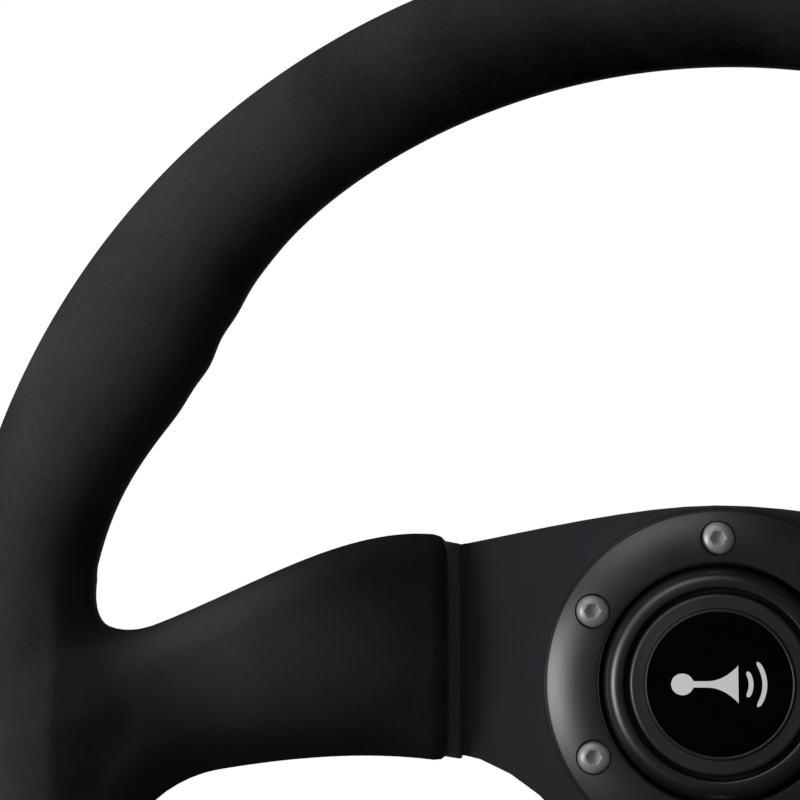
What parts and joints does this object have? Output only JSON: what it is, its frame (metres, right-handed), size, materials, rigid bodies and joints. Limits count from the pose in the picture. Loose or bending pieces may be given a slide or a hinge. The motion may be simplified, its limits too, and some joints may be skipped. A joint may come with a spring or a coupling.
{
  "type": "quick release steering wheel",
  "caption": "Three-spoke dished steering wheel with a suede comfort-grip rim, a horn button and a ball-lock quick release hub with a sprung pull collar.",
  "frame": {"origin": "centre of the column-side hub's rear face, where it bolts to the steering column's hub", "axes": "+Z to twelve o'clock, +X to the driver's right, -Y toward the driver along the steering axis"},
  "size_m": [0.35, 0.1285, 0.3406],
  "materials": {
    "base_alloy": "black anodised, machined",
    "hub_alloy": "black anodised, machined",
    "core_alloy": "mill finish",
    "bright_steel": "hardened and polished",
    "spring_steel": "drawn wire and strip",
    "screw_steel": "zinc plated",
    "collar_red": "red anodised, satin",
    "brass": "plain",
    "insulator": "moulded",
    "plate_black": "black anodised, fine satin grain",
    "ring_black": "satin black",
    "foam": "moulded polyurethane foam",
    "suede": "black suede, brushed nap",
    "button_grey": "satin grey edge",
    "button_gloss": "gloss black"
  },
  "bodies": {
    "column_hub": {"quick_release_base": "base_alloy", "drive_keys": "bright_steel", "contact_carrier": "insulator", "contact_terminals": "brass", "contact_springs": "spring_steel", "collar_spring": "spring_steel", "spring_seat": "bright_steel", "collar_circlip": "spring_steel"},
    "contact_pins": {"contact_pins": "brass"},
    "release_collar": {"release_collar": "collar_red"},
    "lock_ball_1": {"lock_ball_1": "bright_steel"},
    "lock_ball_2": {"lock_ball_2": "bright_steel"},
    "lock_ball_3": {"lock_ball_3": "bright_steel"},
    "lock_ball_4": {"lock_ball_4": "bright_steel"},
    "lock_ball_5": {"lock_ball_5": "bright_steel"},
    "lock_ball_6": {"lock_ball_6": "bright_steel"},
    "wheel": {"wheel_hub": "hub_alloy", "contact_plug": "insulator", "contact_rings": "brass", "spoke_plate": "plate_black", "horn_ring": "ring_black", "horn_ring_screws": "screw_steel", "horn_housing": "insulator", "horn_terminals": "brass", "horn_spring": "spring_steel", "rim_core": "core_alloy", "rim_rivets": "core_alloy", "rim_padding": "foam", "rim_cover": "suede", "spoke_pad_left": "foam", "spoke_pad_right": "foam", "spoke_pad_lower": "foam", "spoke_cover_left": "suede", "spoke_cover_right": "suede", "spoke_cover_lower": "suede"},
    "horn_button": {"horn_cap": "button_grey", "horn_badge": "button_gloss", "horn_stem_clip": "spring_steel", "horn_moving_contact": "brass"}
  },
  "joints": [
    {"name": "wheel_pull_off", "type": "slide", "parent": "column_hub", "child": "wheel", "axis": [0, -1, 0], "range_m": [0, 0.06]},
    {"name": "release_collar_slide", "type": "slide", "parent": "column_hub", "child": "release_collar", "axis": [0, -1, 0], "range_m": [0, 0.005], "stiffness_N_per_m": 2000, "springref_m": -0.003, "deforming": ["collar_spring"]},
    {"name": "contact_pins_press", "type": "slide", "parent": "column_hub", "child": "contact_pins", "axis": [0, 1, 0], "range_m": [0, 0.0015], "stiffness_N_per_m": 400, "springref_m": -0.001, "deforming": ["contact_springs"]},
    {"name": "horn_button_press", "type": "slide", "parent": "wheel", "child": "horn_button", "axis": [0, 1, 0], "range_m": [0, 0.0015], "stiffness_N_per_m": 1500, "springref_m": -0.002, "deforming": ["horn_spring"]},
    {"name": "lock_ball_1_slide", "type": "slide", "parent": "column_hub", "child": "lock_ball_1", "axis": [1, 0, 0], "range_m": [0, 0.0014]},
    {"name": "lock_ball_2_slide", "type": "slide", "parent": "column_hub", "child": "lock_ball_2", "axis": [0.5, 0, 0.866], "range_m": [0, 0.0014]},
    {"name": "lock_ball_3_slide", "type": "slide", "parent": "column_hub", "child": "lock_ball_3", "axis": [-0.5, 0, 0.866], "range_m": [0, 0.0014]},
    {"name": "lock_ball_4_slide", "type": "slide", "parent": "column_hub", "child": "lock_ball_4", "axis": [-1, 0, 0], "range_m": [0, 0.0014]},
    {"name": "lock_ball_5_slide", "type": "slide", "parent": "column_hub", "child": "lock_ball_5", "axis": [-0.5, 0, -0.866], "range_m": [0, 0.0014]},
    {"name": "lock_ball_6_slide", "type": "slide", "parent": "column_hub", "child": "lock_ball_6", "axis": [0.5, 0, -0.866], "range_m": [0, 0.0014]}
  ],
  "couplings": [
    {"joint": "lock_ball_1_slide", "follows": "release_collar_slide", "ratio": 0.28},
    {"joint": "lock_ball_2_slide", "follows": "release_collar_slide", "ratio": 0.28},
    {"joint": "lock_ball_3_slide", "follows": "release_collar_slide", "ratio": 0.28},
    {"joint": "lock_ball_4_slide", "follows": "release_collar_slide", "ratio": 0.28},
    {"joint": "lock_ball_5_slide", "follows": "release_collar_slide", "ratio": 0.28},
    {"joint": "lock_ball_6_slide", "follows": "release_collar_slide", "ratio": 0.28}
  ]
}
